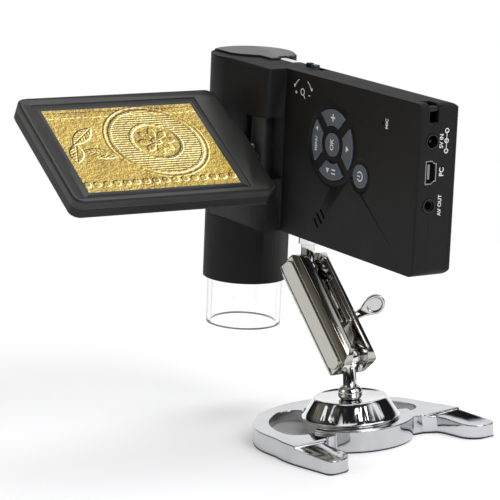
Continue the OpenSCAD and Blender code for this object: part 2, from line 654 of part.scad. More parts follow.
module hinge_pins() color("silver") head_frame() translate([hinge_x, hinge_y, 0]) {
    disc(pin_r, recess_low - 8.6, recess_low + 7.6);
    disc(pin_r, recess_high - 7.6, recess_high + 8.6);
}
module hinge_drum() color("#282828") drum_frame() difference() {
    translate([0, 0, -axle_z]) disc(drum_r, recess_low + 0.2, recess_high - 0.2);
    translate([0, 0, -axle_z]) disc(pin_r + fit, recess_low, recess_low + 8);
    translate([0, 0, -axle_z]) disc(pin_r + fit, recess_high - 8, recess_high);
    x_rod([-10, 0, 0], pin_r + fit, 20);
    x_rod([-10, 0, 0], 2.5, 6.8);
}
module lcd_axle() color("silver") lcd_frame() {
    x_rod([-4.3, 0, 0], pin_r, 19.9);
    x_rod([-4.3, 0, 0], 2.4, 1);
    x_rod([15.5, 0, 0], 1.95, 1);
}

// Outline of the display's case: x from the hinge, y up.
module lcd_outline(inset) {
    round_rect(lcd_near + inset, lcd_far - inset, -lcd_down + inset, lcd_up - inset, 4.6);
    round_rect(7.4 + inset, lcd_near + 6, -11.8 + inset, 11.8 - inset, 1.5);
}
// A layer of the display from depth a to b towards the viewer.
module lcd_layer(a, b) translate([0, b, 0]) rotate([90, 0, 0]) linear_extrude(b - a) children();
module picture_rect(grow) translate([picture_x - picture_w / 2 - grow, -picture_h / 2 - grow])
    square([picture_w + 2 * grow, picture_h + 2 * grow]);

module lcd_bezel() color("#3c3c3c") lcd_frame() difference() {
    union() {
        difference() {
            lcd_layer(0, lcd_front_t - 0.7) lcd_outline(0);
            lcd_layer(-1, 2.2) lcd_outline(1.6);
        }
        lcd_layer(lcd_front_t - 0.8, lcd_front_t) lcd_outline(0.7);
        for (p = lcd_screw_at) y_rod([p[0], -1.9, p[1]], 2.3, 4.4);
    }
    lcd_layer(1, 6) picture_rect(0.6);
    lcd_layer(3.25, 6) translate([picture_x - 39.6, -30.7]) square([79.2, 61.4]);
    for (p = lcd_screw_at) y_rod([p[0], -3, p[1]], 0.95, 4.8);
    x_rod([5, 0, 0], 2, 6.6);
}
module lcd_rear_cover() color("#343434") lcd_frame() difference() {
    union() {
        lcd_layer(-lcd_rear_t + 1.6, 0) lcd_outline(0);
        lcd_layer(-lcd_rear_t + 0.7, -lcd_rear_t + 1.7) lcd_outline(0.5);
        lcd_layer(-lcd_rear_t, -lcd_rear_t + 0.8) lcd_outline(1.6);
    }
    lcd_layer(-lcd_rear_t + 1.8, 1) lcd_outline(1.8);
    for (p = lcd_screw_at) {
        y_rod([p[0], -8, p[1]], 1, 8);
        y_rod([p[0], -8, p[1]], 1.9, 4.4);
    }
    x_rod([5, 0, 0], 2, 6.6);
}
module lcd_module() color("goldenrod") lcd_frame() {
    lcd_layer(0.2, 2.1) picture_rect(2);
    lcd_layer(2, 3.2) picture_rect(0.5);
    lcd_layer(-2.4, 0.25) translate([24, -20]) square([70, 40]);
}
// The bracket that turns on the axle, and the four case screws.
module lcd_fittings() color("silver") lcd_frame() {
    difference() {
        block([10.7, -1.9, -9], [15.3, 2.1, 9]);
        x_rod([5, 0, 0], pin_r + fit, 20);
    }
    for (p = lcd_screw_at) {
        y_rod([p[0], -2.6, p[1]], 0.9, 4);
        y_rod([p[0], -3.6, p[1]], 1.7, 1);
    }
}

base_pad();
base_casting();
cone_boss();
base_screws();
lower_ball_stud();
stud_nut();
lock_nut();
arm_bar_left();
arm_bar_right();
clamp_washer();
clamp_screw();
wing_lever();
upper_ball_stud();
jam_nut();
tripod_bush();
front_shell();
rear_shell();
barrel_cap();
top_plate();
battery_door();
battery();
main_board();
board_chips();
card_socket();
key_board();
key_mat();
key_ok();
key_up();
key_down();
key_left();
key_right();
key_power();
speaker();
microphone();
dc_socket();
usb_socket();
av_socket();
strap_bar();
shell_screws();
lamp_slider();
slider_cap();
lens_chassis();
guide_rods();
lens_carriage();
lens_glass();
focus_wheel();
sensor_board();
image_sensor();
lamp_board();
lamps();
barrel_window();
tube_collar();
clear_tube();
hinge_pins();
hinge_drum();
lcd_axle();
lcd_bezel();
lcd_rear_cover();
lcd_module();
lcd_fittings();
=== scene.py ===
"""Looks of the digital microscope with a fold-out display, on its ball-jointed chrome stand."""
import json
import math

import bmesh
import bpy
from mathutils import Matrix, Vector


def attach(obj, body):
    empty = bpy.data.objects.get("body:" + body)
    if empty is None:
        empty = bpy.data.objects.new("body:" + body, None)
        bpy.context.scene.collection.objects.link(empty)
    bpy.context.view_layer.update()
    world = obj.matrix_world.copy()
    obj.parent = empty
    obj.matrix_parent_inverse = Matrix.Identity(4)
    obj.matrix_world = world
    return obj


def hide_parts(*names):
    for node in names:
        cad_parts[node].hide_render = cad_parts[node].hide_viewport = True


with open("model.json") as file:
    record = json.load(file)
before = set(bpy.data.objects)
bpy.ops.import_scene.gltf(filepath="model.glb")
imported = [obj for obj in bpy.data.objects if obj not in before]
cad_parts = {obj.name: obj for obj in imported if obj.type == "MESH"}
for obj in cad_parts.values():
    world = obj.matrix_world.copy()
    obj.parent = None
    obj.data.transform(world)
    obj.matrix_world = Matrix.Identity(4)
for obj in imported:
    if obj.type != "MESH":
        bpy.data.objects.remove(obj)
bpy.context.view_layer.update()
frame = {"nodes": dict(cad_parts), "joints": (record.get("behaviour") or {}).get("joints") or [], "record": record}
MM = 0.001

# ---------- frames, in millimetres, read from the joints ----------

SWIVEL_IN_HEAD = Vector((49.7, 0.3, 29.7))
DISPLAY_TIP = 61  # degrees, display against head at rest
BASE_TURN = 5  # degrees
KEYPAD_Y = -9.35  # the keypad face, in the head's frame
END_X = 140.6  # the end face with the sockets
PICTURE_MIDDLE = (60.4, 3.2, 0)  # in the display's frame

joints = {j["name"]: j for j in frame["joints"]}


def axis_of(name):
    return Vector(joints[name]["axis"]).normalized()


def centre_of(name):
    return Vector(joints[name]["pos_m"])


def frame_at(origin, x, y, z):
    """A frame in millimetres at a point given in metres."""
    turn = Matrix((x, y, z)).transposed().to_4x4()
    return Matrix.Translation(origin) @ turn @ Matrix.Scale(MM, 4)


head_x, head_y, head_z = axis_of("lamp_slide"), axis_of("press_ok"), -axis_of("tube_pull")
HEAD = frame_at(Vector(), head_x, head_y, head_z)
HEAD = Matrix.Translation(centre_of("head_swivel") - HEAD @ SWIVEL_IN_HEAD) @ HEAD

lcd_x = axis_of("lcd_twist")
lcd_z = Matrix.Rotation(math.radians(DISPLAY_TIP), 3, lcd_x) @ head_z
LCD = frame_at(centre_of("lcd_twist"), lcd_x, lcd_z.cross(lcd_x), lcd_z)

arm_z = (centre_of("head_tilt") - centre_of("arm_tilt")).normalized()
arm_y = axis_of("clamp_turn")
ARM = frame_at(centre_of("arm_tilt"), arm_y.cross(arm_z), arm_y, arm_z)
BASE = Matrix.Rotation(math.radians(BASE_TURN), 4, "Z") @ Matrix.Scale(MM, 4)


def faced(parent, origin, across, up):
    """A drawing plane in a frame: x across, y up, z out of the surface."""
    across, up = Vector(across), Vector(up)
    turn = Matrix((across, up, across.cross(up))).transposed().to_4x4()
    return parent @ Matrix.Translation(origin) @ turn


KEYPAD = faced(HEAD, (0, KEYPAD_Y, 0), (1, 0, 0), (0, 0, 1))
END = faced(HEAD, (END_X, 0, 0), (0, 0, 1), (0, -1, 0))
SCREEN = faced(LCD, PICTURE_MIDDLE, (-1, 0, 0), (0, 0, 1))

# ---------- colours and node helpers ----------


def colour(code):
    """Linear colour from a six-digit code."""
    parts = [int(code[i:i + 2], 16) / 255 for i in (0, 2, 4)]
    return tuple(c / 12.92 if c <= 0.04045 else ((c + 0.055) / 1.055) ** 2.4 for c in parts) + (1,)


class Reading:
    """A number that changes over a surface, and sums on it."""

    def __init__(self, tree, socket):
        self.tree, self.socket = tree, socket

    def sum(self, operation, *others):
        node = self.tree.nodes.new("ShaderNodeMath")
        node.operation = operation
        for place, value in enumerate((self, *others)):
            if isinstance(value, Reading):
                self.tree.links.new(value.socket, node.inputs[place])
            else:
                node.inputs[place].default_value = value
        return Reading(self.tree, node.outputs[0])

    def __add__(self, other):
        return self.sum("ADD", other)

    def __sub__(self, other):
        return self.sum("SUBTRACT", other)

    def __mul__(self, other):
        return self.sum("MULTIPLY", other)

    def band(self, low, high):
        """0 below low, 1 above high, smooth between."""
        node = self.tree.nodes.new("ShaderNodeMapRange")
        node.interpolation_type = "SMOOTHSTEP"
        self.tree.links.new(self.socket, node.inputs["Value"])
        node.inputs["From Min"].default_value = low
        node.inputs["From Max"].default_value = high
        return Reading(self.tree, node.outputs["Result"])

    def spread(self, low, high):
        """0..1 stretched to low..high."""
        node = self.tree.nodes.new("ShaderNodeMapRange")
        self.tree.links.new(self.socket, node.inputs["Value"])
        node.inputs["To Min"].default_value = low
        node.inputs["To Max"].default_value = high
        return Reading(self.tree, node.outputs["Result"])


def new_node(tree, kind, **values):
    node = tree.nodes.new("ShaderNode" + kind)
    for name, value in values.items():
        setattr(node, name, value)
    return node


def feed(tree, socket, value):
    """Links a reading or socket, or sets a constant."""
    if isinstance(value, Reading):
        tree.links.new(value.socket, socket)
    elif isinstance(value, bpy.types.NodeSocket):
        tree.links.new(value, socket)
    else:
        socket.default_value = value


def split(tree, vector):
    """The three parts of a vector, as readings."""
    node = new_node(tree, "SeparateXYZ")
    tree.links.new(vector, node.inputs[0])
    return [Reading(tree, out) for out in node.outputs]


def local_point(tree, place):
    """Object coordinates turned into millimetres of a frame."""
    back = place.inverted()
    where = new_node(tree, "TexCoord")
    turned = new_node(tree, "Mapping")
    tree.links.new(where.outputs["Object"], turned.inputs["Vector"])
    spot, turn, size = back.decompose()
    turned.inputs["Location"].default_value = spot
    turned.inputs["Rotation"].default_value = turn.to_euler("XYZ")
    turned.inputs["Scale"].default_value = size
    return turned.outputs["Vector"]


def noise(tree, vector, scale, detail=2, rough=0.5):
    """Even noise, 0 to 1, at a point."""
    node = new_node(tree, "TexNoise")
    tree.links.new(vector, node.inputs["Vector"])
    node.inputs["Scale"].default_value = scale
    node.inputs["Detail"].default_value = detail
    node.inputs["Roughness"].default_value = rough
    return Reading(tree, node.outputs["Fac"])


def stretched(tree, vector, scale):
    """A point with each of its parts scaled."""
    node = new_node(tree, "Mapping")
    tree.links.new(vector, node.inputs["Vector"])
    node.inputs["Scale"].default_value = scale
    return node.outputs["Vector"]


def blend_colours(tree, mask, low, high):
    """Low where the mask is 0, high where it is 1."""
    node = new_node(tree, "Mix", data_type="RGBA")
    feed(tree, node.inputs[0], mask)
    feed(tree, node.inputs[6], low)
    feed(tree, node.inputs[7], high)
    return node.outputs[2]


def steps(tree, value, stops):
    """A colour ramp from (place, code) stops."""
    node = new_node(tree, "ValToRGB")
    ramp = node.color_ramp
    while len(ramp.elements) < len(stops):
        ramp.elements.new(0.5)
    for element, (place, code) in zip(ramp.elements, stops):
        element.position, element.color = place, colour(code)
    feed(tree, node.inputs[0], value)
    return node.outputs["Color"]


def effect(name, inputs, outputs):
    """A node group with named number or vector sockets."""
    tree = bpy.data.node_groups.new(name, "ShaderNodeTree")
    kinds = {"number": "NodeSocketFloat", "vector": "NodeSocketVector"}
    for label, kind in inputs:
        tree.interface.new_socket(label, in_out="INPUT", socket_type=kinds[kind])
    for label, kind in outputs:
        tree.interface.new_socket(label, in_out="OUTPUT", socket_type=kinds[kind])
    return tree, tree.nodes.new("NodeGroupInput"), tree.nodes.new("NodeGroupOutput")


def use(tree, group, **values):
    """Puts a node group into a material and sets its inputs."""
    node = new_node(tree, "Group")
    node.node_tree = group
    for label, value in values.items():
        feed(tree, node.inputs[label.replace("_", " ")], value)
    return node


# ---------- shared effects ----------


def make_moulded_grain():
    """Fine pebbled skin of a moulding, with a slow change of tone."""
    tree, given, result = effect("moulded_grain", [("Size", "number"), ("Depth", "number")],
                                 [("Height", "number"), ("Tone", "number")])
    where = new_node(tree, "TexCoord").outputs["Object"]
    size = Reading(tree, given.outputs["Size"])
    fine = new_node(tree, "TexNoise")
    tree.links.new(where, fine.inputs["Vector"])
    feed(tree, fine.inputs["Scale"], size)
    fine.inputs["Detail"].default_value = 3
    pits = new_node(tree, "TexVoronoi", feature="SMOOTH_F1")
    tree.links.new(where, pits.inputs["Vector"])
    feed(tree, pits.inputs["Scale"], size * 0.8)
    height = Reading(tree, fine.outputs["Fac"]) + Reading(tree, pits.outputs["Distance"]) * 0.6
    feed(tree, result.inputs["Height"], height * Reading(tree, given.outputs["Depth"]))
    slow = noise(tree, where, 34, 3)
    feed(tree, result.inputs["Tone"], slow * 0.7 + Reading(tree, fine.outputs["Fac"]) * 0.3)
    return tree


def make_edge_wear_and_painted_highlight():
    """1 along outer edges, 0 on the flats, broken up by noise: edge wear and painted highlight."""
    tree, given, result = effect("edge_wear_and_painted_highlight", [("Width", "number"), ("Breakup", "number")],
                                 [("Mask", "number")])
    rounded = new_node(tree, "Bevel", samples=6)
    feed(tree, rounded.inputs["Radius"], Reading(tree, given.outputs["Width"]))
    straight = new_node(tree, "NewGeometry")
    across = new_node(tree, "VectorMath", operation="DOT_PRODUCT")
    tree.links.new(rounded.outputs["Normal"], across.inputs[0])
    tree.links.new(straight.outputs["Normal"], across.inputs[1])
    turned = Reading(tree, across.outputs["Value"]) * -1 + 1
    broken = noise(tree, new_node(tree, "TexCoord").outputs["Object"], 900, 3)
    breakup = Reading(tree, given.outputs["Breakup"])
    kept = broken.band(0.3, 0.6) * breakup - breakup + 1
    feed(tree, result.inputs["Mask"], turned.band(0.02, 0.22) * kept)
    return tree


def make_handling():
    """Faint smears where hands and cloths have passed."""
    tree, given, result = effect("handling", [("Amount", "number")], [("Mask", "number")])
    where = new_node(tree, "TexCoord").outputs["Object"]
    smear = noise(tree, stretched(tree, where, (1, 1, 0.35)), 60, 5, 0.6).band(0.42, 0.72)
    feed(tree, result.inputs["Mask"], smear * Reading(tree, given.outputs["Amount"]))
    return tree


def make_drawn_lines():
    """Long fine lines left by drawing or polishing along one direction."""
    tree, given, result = effect("drawn_lines", [("Point", "vector"), ("Depth", "number")],
                                 [("Height", "number"), ("Mask", "number")])
    lines = noise(tree, given.outputs["Point"], 1.0, 4, 0.65)
    feed(tree, result.inputs["Height"], lines * Reading(tree, given.outputs["Depth"]))
    feed(tree, result.inputs["Mask"], lines.band(0.35, 0.7))
    return tree


moulded_grain = make_moulded_grain()
edge_wear_and_painted_highlight = make_edge_wear_and_painted_highlight()
handling = make_handling()
drawn_lines = make_drawn_lines()


def finish(name):
    """An empty material with its shader."""
    made = bpy.data.materials.new(name)
    made.use_nodes = True
    tree = made.node_tree
    tree.nodes.clear()
    shader = tree.nodes.new("ShaderNodeBsdfPrincipled")
    output = tree.nodes.new("ShaderNodeOutputMaterial")
    tree.links.new(shader.outputs[0], output.inputs["Surface"])
    return made, tree, shader


def set_shader(shader, **values):
    """Constants on the shader's own sockets."""
    for label, value in values.items():
        shader.inputs[label.replace("_", " ")].default_value = value


def raised(tree, shader, height, distance, edge=0.0):
    """Bump from a height, over edges softened by a small radius in metres."""
    bump = new_node(tree, "Bump")
    bump.inputs["Distance"].default_value = distance
    feed(tree, bump.inputs["Height"], height)
    if edge:
        soft = new_node(tree, "Bevel", samples=8)
        soft.inputs["Radius"].default_value = edge
        tree.links.new(soft.outputs["Normal"], bump.inputs["Normal"])
    tree.links.new(bump.outputs["Normal"], shader.inputs["Normal"])


def moulding(name, code, light, rough, size, depth, edge, wear_and_highlight=0.5, specular=0.5):
    """Matt moulded plastic with a fine skin, paler along its edges from wear and painted highlight.

    size: grains per metre; depth: of the grain; edge: radius in metres; wear_and_highlight: paleness of the edges,
    from edge wear and painted highlight.
    """
    made, tree, shader = finish(name)
    grain = use(tree, moulded_grain, Size=size, Depth=depth)
    edges = use(tree, edge_wear_and_painted_highlight, Width=0.0005, Breakup=0.5)
    touch = use(tree, handling, Amount=0.5)
    tone = Reading(tree, grain.outputs["Tone"])
    base = blend_colours(tree, tone.spread(0.0, 0.35), colour(code), colour(light))
    # Paler edges: edge wear and painted highlight.
    worn = Reading(tree, edges.outputs["Mask"]) * wear_and_highlight
    feed(tree, shader.inputs["Base Color"], blend_colours(tree, worn, base, colour(light)))
    feed(tree, shader.inputs["Roughness"],
         Reading(tree, touch.outputs["Mask"]) * -0.1 + tone * 0.1 + (rough - 0.03))
    set_shader(shader, Specular_IOR_Level=specular)
    raised(tree, shader, Reading(tree, grain.outputs["Height"]), 0.00002, edge)
    return made


def polished(name, code, rough, place, stretch, depth, edge, outline=0.0):
    """Plated metal: near mirror, with faint smears, polishing lines and painted shade where it turns away.

    place, stretch: frame and scale of the lines; depth: theirs; edge: radius in metres;
    outline: how far painted shade darkens the surface where it turns away from the eye.
    """
    made, tree, shader = finish(name)
    touch = use(tree, handling, Amount=0.6)
    smear = Reading(tree, touch.outputs["Mask"])
    where = stretched(tree, local_point(tree, place), stretch)
    lines = use(tree, drawn_lines, Point=where, Depth=1.0)
    line = Reading(tree, lines.outputs["Mask"])
    base = blend_colours(tree, smear * 0.5, colour(code), colour("b4b2ae"))
    if outline:
        # Painted shade: the colour darkens where the surface turns away from the eye.
        facing = Reading(tree, new_node(tree, "LayerWeight").outputs["Facing"])
        base = blend_colours(tree, facing.band(0.55, 0.95) * outline, base, colour("1c1c1e"))
    feed(tree, shader.inputs["Base Color"], base)
    feed(tree, shader.inputs["Roughness"], smear * 0.08 + line * depth + rough)
    set_shader(shader, Metallic=1.0)
    raised(tree, shader, Reading(tree, lines.outputs["Height"]), 0.000004 + depth * 0.00004, edge)
    return made


# ---------- finishes ----------

# Plastics: dark and light tone, roughness, grain size and depth, edge radius, edge wear and painted highlight,
# gloss.
soft_black = moulding("soft_black", "0a0a0b", "161617", 0.62, 2600, 0.8, 0.0008, 0.3, 0.3)
cap_black = moulding("cap_black", "151516", "242425", 0.36, 2400, 0.7, 0.0005, 0.4, 0.5)
door_black = moulding("door_black", "0a0a0b", "161617", 0.62, 2600, 0.8, 0.0004, 0.3, 0.3)
case_charcoal = moulding("case_charcoal", "272726", "3a3a38", 0.38, 2800, 0.6, 0.0005, 0.6, 0.4)
cover_charcoal = moulding("cover_charcoal", "101010", "1e1e1e", 0.42, 2800, 0.6, 0.0005, 0.6, 0.3)
drum_black = moulding("drum_black", "181818", "2a2a29", 0.42, 2600, 0.6, 0.0004, 0.5, 0.4)
wheel_black = moulding("wheel_black", "121212", "242424", 0.45, 1800, 1.0, 0.0003, 0.5, 0.4)
socket_black = moulding("socket_black", "0b0b0c", "1f1f1f", 0.3, 1800, 0.5, 0.0002, 0.5, 0.4)
chip_black = moulding("chip_black", "18181a", "2c2c2e", 0.55, 1500, 1.0, 0.0001, 0.5, 0.4)
key_grey = moulding("key_grey", "3c434d", "8b95a4", 0.38, 2200, 0.4, 0.0004, 0.9)
knob_grey = moulding("knob_grey", "2c3038", "6b7280", 0.4, 2200, 0.5, 0.0003, 0.9)
mat_silicone = moulding("mat_silicone", "b9b9b4", "d8d8d2", 0.6, 900, 1.0, 0.0003, 0.3)
# Pale plate: on the top plate the paleness is a painted highlight; the lamp board is pale itself.
pale_plate = moulding("pale_plate", "e4e2dc", "f6f5f2", 0.35, 1500, 0.5, 0.0002, 0.4)
print_white = moulding("print_white", "dcdcda", "eeeeec", 0.55, 3000, 1.0, 0.0, 0.0)
lamp_white = moulding("lamp_white", "eceae0", "ffffff", 0.25, 1500, 0.4, 0.0002, 0.2)
navy_edge = moulding("navy_edge", "10142c", "232a55", 0.3, 2600, 0.4, 0.0, 0.2)

# Metals: tone, roughness, frame and scale of the lines, their depth, edge radius, painted shade where they turn
# away.
cone_chrome = polished("cone_chrome", "e6e7ea", 0.04, BASE, (0.02, 0.02, 0.9), 0.03, 0.0006)
post_chrome = polished("post_chrome", "dedede", 0.05, BASE, (0.3, 0.3, 2), 0.02, 0.0004, 0.85)
arm_chrome = polished("arm_chrome", "bcb9b1", 0.1, ARM, (1.2, 1.2, 0.02), 0.1, 0.0005)
wing_chrome = polished("wing_chrome", "c9c8c5", 0.1, ARM, (0.5, 0.5, 0.5), 0.05, 0.0009, 0.85)
screw_steel = polished("screw_steel", "a8a8aa", 0.25, HEAD, (1, 1, 3), 0.1, 0.0003)
tinned = polished("tinned", "8b8c8e", 0.3, HEAD, (0.4, 2, 2), 0.12, 0.0002)
brass = polished("brass", "c9a45a", 0.25, HEAD, (1, 1, 4), 0.1, 0.0003)
gold_plate = polished("gold_plate", "d8b45e", 0.2, HEAD, (1, 1, 1), 0.1, 0.0)


def make_casting():
    """Polished casting whose pocket floors are left rough as they came from the mould."""
    made, tree, shader = finish("casting_chrome")
    where = local_point(tree, BASE)
    x, y, height = split(tree, where)
    # The pockets lie within 36 mm of the middle, and their floors are 3.4 mm high.
    in_pocket = (x * x + y * y).sum("SQRT").band(36.6, 36.2) * x.band(8.6, 8.2)
    floor = height.band(3.9, 3.6) * height.band(3.1, 3.3) * in_pocket
    touch = Reading(tree, use(tree, handling, Amount=0.7).outputs["Mask"])
    crust = noise(tree, where, 1.6, 5, 0.7)
    ripple = noise(tree, where, 0.12, 2)
    plating = blend_colours(tree, touch * 0.4, colour("c9cace"), colour("a9a8a4"))
    cast = blend_colours(tree, crust, colour("c4c3be"), colour("ffffff"))
    feed(tree, shader.inputs["Base Color"], blend_colours(tree, floor, plating, cast))
    feed(tree, shader.inputs["Roughness"], floor * 0.4 + touch * 0.06 + 0.07)
    feed(tree, shader.inputs["Metallic"], floor * -1 + 1)
    raised(tree, shader, crust * floor * 3 + ripple * 0.25, 0.0004, 0.0010)
    return made


def make_felt():
    """Dark felt."""
    made, tree, shader = finish("felt")
    where = new_node(tree, "TexCoord").outputs["Object"]
    fibres = noise(tree, where, 1500, 6, 0.75)
    feed(tree, shader.inputs["Base Color"],
         blend_colours(tree, fibres, colour("101012"), colour("35353a")))
    set_shader(shader, Roughness=0.95, Sheen_Weight=0.4, Sheen_Roughness=0.5)
    raised(tree, shader, fibres, 0.0004)
    return made


def make_board():
    """Green circuit board with tracks and solder points."""
    made, tree, shader = finish("board_green")
    where = local_point(tree, HEAD)
    x, _, z = split(tree, where)
    upright = (x * 2.1).sum("SINE").sum("ABSOLUTE").band(0.08, 0.02)
    level = (z * 1.7).sum("SINE").sum("ABSOLUTE").band(0.07, 0.02)
    tracks = upright + level
    patch = noise(tree, where, 0.16, 0).band(0.45, 0.5)
    feed(tree, shader.inputs["Base Color"],
         blend_colours(tree, tracks * patch, colour("1d5a34"), colour("4f9a63")))
    feed(tree, shader.inputs["Roughness"], patch * 0.1 + 0.3)
    raised(tree, shader, tracks * patch, 0.00005)
    return made


def make_battery_wrap():
    """Blue shrink wrap with pale bands."""
    made, tree, shader = finish("battery_blue")
    where = local_point(tree, HEAD)
    z = split(tree, where)[2]
    bands = (z * 0.4).sum("SINE").band(0.86, 0.92)
    feed(tree, shader.inputs["Base Color"],
         blend_colours(tree, bands, colour("2f5f96"), colour("dfe3e8")))
    feed(tree, shader.inputs["Roughness"], noise(tree, where, 0.3).spread(0.25, 0.4))
    raised(tree, shader, noise(tree, where, 0.8), 0.0001)
    return made


def make_clear(name, code, edge_on_shade, rough):
    """Clear acrylic or glass: a few fine marks, and painted shade on walls where they are seen edge-on."""
    made, tree, shader = finish(name)
    where = new_node(tree, "TexCoord").outputs["Object"]
    marks = noise(tree, stretched(tree, where, (1, 1, 0.15)), 400, 4, 0.6)
    edge_on = Reading(tree, new_node(tree, "LayerWeight").outputs["Facing"]).band(0.6, 0.98)
    # Painted shade: the colour turns darker where a wall is seen edge-on.
    feed(tree, shader.inputs["Base Color"], blend_colours(tree, edge_on, colour(code), colour(edge_on_shade)))
    feed(tree, shader.inputs["Roughness"], marks.band(0.55, 0.8) * 0.05 + rough)
    set_shader(shader, Transmission_Weight=1.0, IOR=1.49)
    raised(tree, shader, marks, 0.00001)
    return made


casting_chrome = make_casting()
felt = make_felt()
board_green = make_board()
battery_blue = make_battery_wrap()
clear_acrylic = make_clear("clear_acrylic", "ffffff", "5a6a82", 0.02)
# Opaque blue-grey for the tube's rims: painted reflection.
painted_rim_reflection = moulding("painted_rim_reflection", "8794aa", "b9c3d2", 0.25, 2000, 0.2, 0.0, 0.3)
lens_clear = make_clear("lens_clear", "eef6ff", "c8d8ee", 0.0)


def make_relief():
    """Height of a worn brass ornament at a point of the picture, in millimetres."""
    tree, given, result = effect("ornament_relief", [("Point", "vector")], [("Height", "number")])
    u, v, _ = split(tree, given.outputs["Point"])

    def round_at(cu, cv):
        du, dv = u - cu, v - cv
        return (du * du + dv * dv).sum("SQRT"), dv.sum("ARCTAN2", du)

    # A hatched ring with a double outline.
    far, angle = round_at(9, 3)
    ring = far.band(11.4, 12.2) * far.band(20.6, 19.8)
    hatch = (v * 4.3).sum("SINE").band(-0.3, 0.6)
    outline = far.band(10.4, 11.0) * far.band(12.4, 11.8)
    outline = outline + far.band(19.8, 20.4) * far.band(21.8, 21.2)
    outline = outline + far.band(22.6, 23.0) * far.band(23.9, 23.5) * 0.5
    # A rosette inside it.
    petals = (angle * 8).sum("COSINE") * 1.5
    rosette = (far - petals).band(7.6, 6.6) * ((angle * 8).sum("COSINE").band(-1, -0.4) * 0.5 + 0.5)
    boss = far.band(2.6, 2.0) * 0.8
    height = ring * 0.35 + ring * hatch * 0.5 + outline + rosette * 0.8 + boss

    # Leaves to the left.
    half_width = 3.4
    for cu, cv, lean, length in ((-24, 9, 0.7, 8.5), (-20, -3, -0.35, 8), (-31, -2, 1.25, 7)):
        du, dv = u - cu, v - cv
        along = du * math.cos(lean) + dv * math.sin(lean)
        side = dv * math.cos(lean) - du * math.sin(lean)
        width = (along * along) * (-half_width / length ** 2) + half_width
        leaf = (width - side.sum("ABSOLUTE")).band(0.0, 0.5)
        vein = side.sum("ABSOLUTE").band(0.2, 0.5)
        ribs = ((along + side.sum("ABSOLUTE")) * 3.2).sum("SINE").band(-0.5, 0.4)
        height = height + leaf * (vein * 0.4 + ribs * 0.25 + 0.4)
    # Beads along the bottom and a rope along the top.
    pitch, bead_row = 4.6, -22.3
    cell = (u * (1 / pitch)).sum("FRACT") * pitch - pitch / 2
    drop = v - bead_row
    height = height + (cell * cell + drop * drop).sum("SQRT").band(1.9, 1.4) * 0.9
    rope = ((u + v) * 1.9).sum("SINE").band(-0.5, 0.5)
    height = height + v.band(21.0, 21.5) * v.band(25.0, 24.5) * (rope * 0.6 + 0.2)
    # Small scattered grains.
    point = given.outputs["Point"]
    speck = noise(tree, point, 1.6, 5, 0.75) * 1.7 + noise(tree, point, 0.5, 3) * 1.2
    worn = noise(tree, point, 0.25, 3)
    feed(tree, result.inputs["Height"], height * worn.spread(0.8, 1.5) + speck)
    return tree


def make_picture():
    """The lit picture: a golden relief, shaded by its fall over a short step towards the light."""
    made, tree, shader = finish("picture")
    relief = make_relief()
    where = new_node(tree, "UVMap", uv_map="picture_mm").outputs["UV"]
    moved = new_node(tree, "VectorMath", operation="ADD")
    tree.links.new(where, moved.inputs[0])
    step = 0.36
    moved.inputs[1].default_value = (step, -step, 0)
    here = Reading(tree, use(tree, relief, Point=where).outputs["Height"])
    there = Reading(tree, use(tree, relief, Point=moved.outputs[0]).outputs["Height"])
    soft = noise(tree, where, 0.06, 3)
    slope = there - here
    contour = slope.sum("ABSOLUTE").band(0.35, 0.9)
    shade = slope * -0.8 - contour * 0.16 + soft * 0.4 + 0.24
    stops = [(0.0, "241606"), (0.18, "553a12"), (0.32, "866722"), (0.45, "ad9034"), (0.6, "c9b24e"),
             (0.76, "e6d987"), (1.0, "fffde0")]
    golden = steps(tree, shade, stops)
    feed(tree, shader.inputs["Base Color"], golden)
    feed(tree, shader.inputs["Emission Color"], golden)
    feed(tree, shader.inputs["Roughness"], here * 0.05 + 0.28)
    set_shader(shader, Emission_Strength=0.38, Specular_IOR_Level=0.3)
    return made


picture = make_picture()

# ---------- the frame's own nodes ----------

BODIES = frame["record"]["behaviour"]["bodies"]
HANGS_ON = {node: body for body, nodes in BODIES.items() for node in nodes}


def put_in_scene(name, mesh, body, made, smooth=30):
    """Shows a mesh with a finish, riding on a body; edges sharper than smooth degrees stay sharp."""
    piece = bpy.data.objects.new(name, mesh)
    bpy.context.scene.collection.objects.link(piece)
    mesh.materials.clear()
    mesh.materials.append(made)
    mesh.polygons.foreach_set("use_smooth", [True] * len(mesh.polygons))
    mesh.set_sharp_from_angle(angle=math.radians(smooth))
    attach(piece, body)
    return piece


def dressed(node, made):
    """A merged copy of a frame node, shown in its place."""
    bm = bmesh.new()
    bm.from_mesh(frame["nodes"][node].data)
    bmesh.ops.remove_doubles(bm, verts=bm.verts, dist=2e-7)
    bmesh.ops.dissolve_limit(bm, angle_limit=math.radians(0.6), verts=bm.verts, edges=bm.edges)
    mesh = bpy.data.meshes.new(node + "_skin")
    bm.to_mesh(mesh)
    bm.free()
    piece = put_in_scene(node + "_skin", mesh, HANGS_ON[node], made)
    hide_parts(node)


